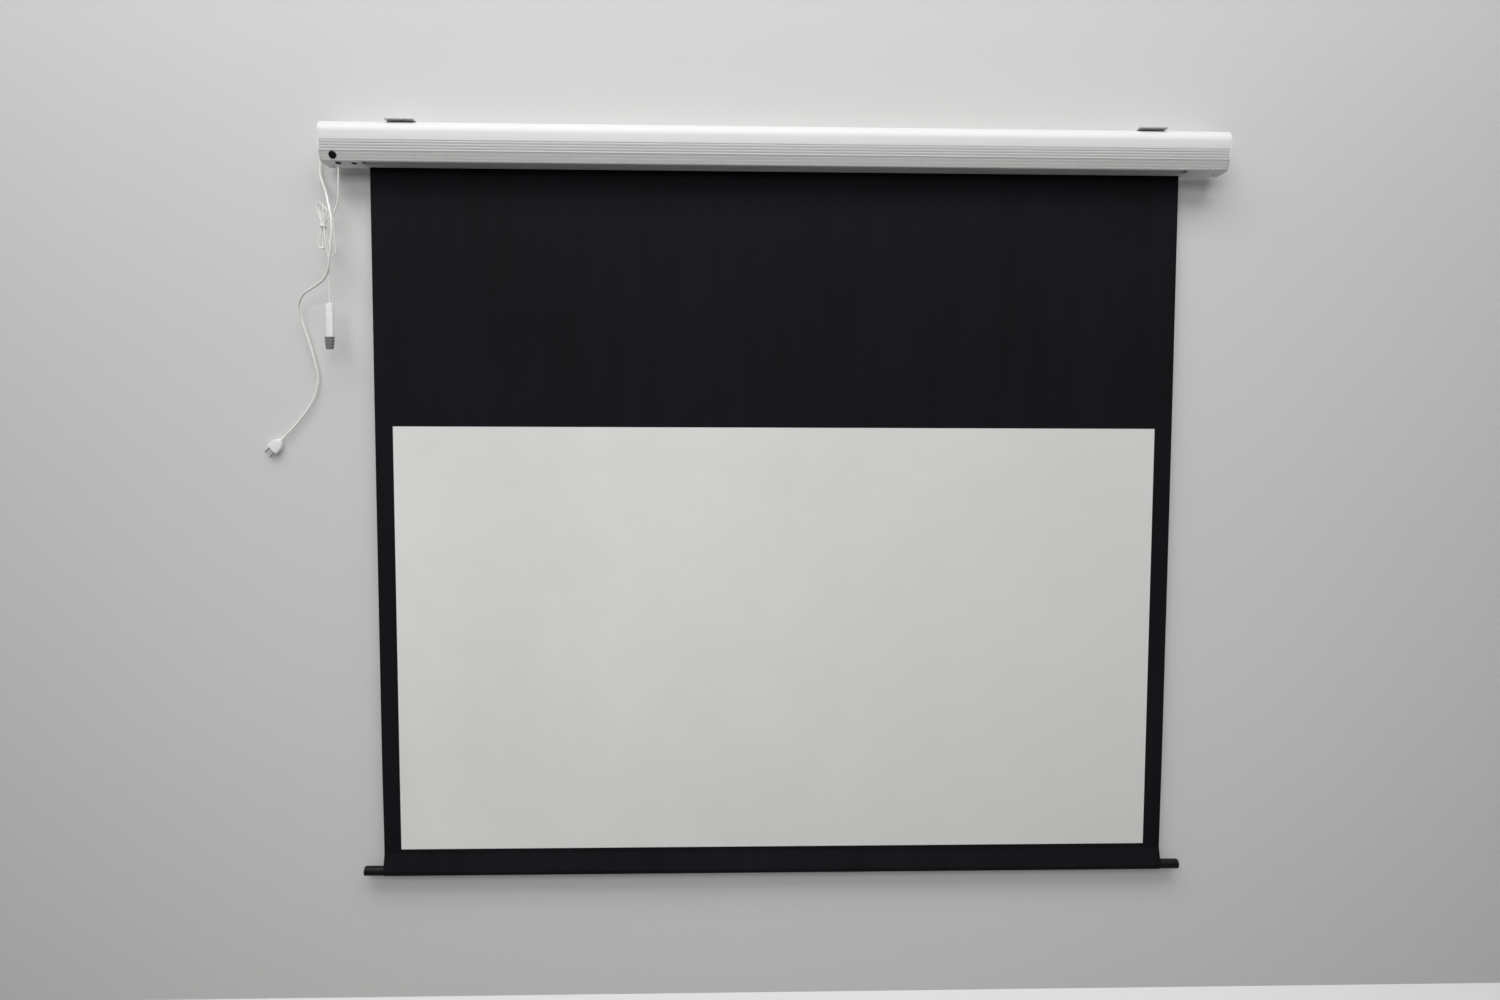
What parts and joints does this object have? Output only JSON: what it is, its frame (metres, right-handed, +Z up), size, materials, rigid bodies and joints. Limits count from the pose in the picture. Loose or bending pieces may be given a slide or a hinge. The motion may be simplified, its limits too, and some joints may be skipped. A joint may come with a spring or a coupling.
{
  "type": "motorized projection screen",
  "caption": "Wall-hung motorized projection screen: white reeded case with roller and tubular motor, black-bordered drop-down cloth, weight bar, brackets and wired hand control.",
  "frame": {"origin": "on the wall plane, halfway along the case, level with the centres of the brackets' wall slots", "axes": "+X along the case to the right as seen from the front, +Y into the wall, +Z up"},
  "size_m": [2.7549, 0.0986, 2.1761],
  "materials": {
    "case_white": "satin white powder coat on extruded aluminium",
    "white_plastic": "moulded, lightly satin",
    "grey_plastic": "moulded, matt",
    "black_plastic": "moulded, satin",
    "window_black": "polished, infrared clear",
    "black_rubber": "matt",
    "white_cord": "flexible sheath, satin",
    "black_cloth": "matt coated screen cloth",
    "white_cloth": "matt white coated screen cloth",
    "bar_black": "satin black paint",
    "zinc_steel": "zinc plated sheet",
    "plain_steel": "bright steel",
    "roller_aluminium": "mill finish",
    "board_green": "coated circuit board"
  },
  "bodies": {
    "case": {"case_shell": "case_white", "cover_plate_left": "white_plastic", "cover_plate_right": "white_plastic", "end_cap_left": "white_plastic", "end_cap_right": "white_plastic", "end_plate_left": "zinc_steel", "end_plate_right": "zinc_steel", "cap_screw_left_1": "plain_steel", "cap_screw_left_2": "plain_steel", "cap_screw_right_1": "plain_steel", "cap_screw_right_2": "plain_steel", "cover_screw_left": "plain_steel", "cover_screw_right": "plain_steel", "sensor_window": "window_black", "sensor_board": "board_green", "control_housing": "grey_plastic", "control_board": "board_green", "motor_head": "black_plastic", "motor_tube": "plain_steel", "motor_capacitor": "black_plastic", "motor_brake": "black_plastic", "motor_windings": "roller_aluminium", "motor_gearbox": "plain_steel", "idler_bush": "white_plastic", "black_cloth": "black_cloth", "viewing_area": "white_cloth", "mains_gland": "white_plastic", "mains_coil": "white_cord", "coil_tie": "black_plastic", "mains_lead": "white_cord", "mains_plug": "white_plastic", "plug_pins": "plain_steel", "control_grommet": "black_rubber", "control_lead_upper": "white_cord", "control_hank": "white_cord", "hank_tie": "white_plastic", "control_lead_lower": "white_cord", "control_body": "white_plastic", "control_end": "grey_plastic"},
    "bar": {"cloth_hem": "black_cloth", "bar_tube": "bar_black", "bar_cap_left": "black_plastic", "bar_cap_right": "black_plastic"},
    "roller": {"roller_tube": "roller_aluminium", "crown_ring": "black_plastic", "drive_shaft": "plain_steel", "drive_wheel": "black_plastic", "idler_plug": "black_plastic", "idler_pin": "plain_steel", "cloth_spline": "white_plastic", "cloth_turns": "black_cloth"},
    "up_screw": {"limit_screw_up": "zinc_steel"},
    "down_screw": {"limit_screw_down": "zinc_steel"},
    "left_hanger": {"bracket_left": "zinc_steel", "clamp_bolt_left": "plain_steel", "clamp_nut_left": "plain_steel"},
    "right_hanger": {"bracket_right": "zinc_steel", "clamp_bolt_right": "plain_steel", "clamp_nut_right": "plain_steel"}
  },
  "joints": [
    {"name": "bar_lift", "type": "slide", "parent": "case", "child": "bar", "axis": [0, 0, 1], "range_m": [0, 1.991], "deforming": ["black_cloth", "viewing_area"]},
    {"name": "roller_spin", "type": "hinge", "parent": "case", "child": "roller", "pos_m": [0, -0.05742, -0.022], "axis": [1, 0, 0], "range_deg": [0, 3880]},
    {"name": "limit_screw_up_turn", "type": "hinge", "parent": "case", "child": "up_screw", "pos_m": [-1.1885, -0.06603, -0.04], "axis": [0, 0, 1], "range_deg": [-1080, 1080]},
    {"name": "limit_screw_down_turn", "type": "hinge", "parent": "case", "child": "down_screw", "pos_m": [-1.1795, -0.06603, -0.04], "axis": [0, 0, 1], "range_deg": [-1080, 1080]},
    {"name": "left_hanger_slide", "type": "slide", "parent": "case", "child": "left_hanger", "axis": [1, 0, 0], "range_m": [-0.05, 0.05]},
    {"name": "right_hanger_slide", "type": "slide", "parent": "case", "child": "right_hanger", "axis": [1, 0, 0], "range_m": [-0.05, 0.05]}
  ],
  "couplings": [
    {"joint": "roller_spin", "follows": "bar_lift", "rad_per_m": 33.985}
  ]
}
